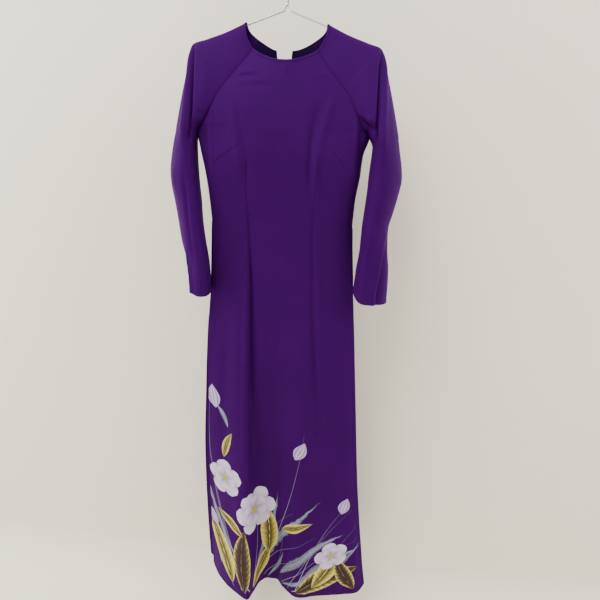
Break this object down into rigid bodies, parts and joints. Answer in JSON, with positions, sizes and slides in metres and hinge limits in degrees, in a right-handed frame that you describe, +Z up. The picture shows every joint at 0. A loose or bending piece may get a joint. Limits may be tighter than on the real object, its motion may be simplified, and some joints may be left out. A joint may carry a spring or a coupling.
{
  "type": "ao dai tunic on a wire hanger",
  "caption": "Long-sleeved raglan ao dai tunic with a round neck, back neck slit and long free tails, hanging hollow and nearly flat on a bent wire hanger.",
  "frame": {"origin": "inside top of the hanger's hook, where a rail or wall hook carries it", "axes": "+Z up, the tunic's front faces -Y, +X to the viewer's right"},
  "size_m": [0.499, 0.1297, 1.4838],
  "materials": {
    "crepe": "smooth deep purple silk crepe with a soft sheen",
    "satin": "dark navy purple satin facing",
    "wire": "bright drawn steel wire"
  },
  "bodies": {
    "root": {"front": "crepe", "back_left": "crepe", "back_right": "crepe", "sleeve_left": "crepe", "sleeve_right": "crepe", "neck_binding": "crepe", "back_facing_left": "satin", "back_facing_right": "satin", "hanger_wire": "wire"}
  },
  "joints": []
}
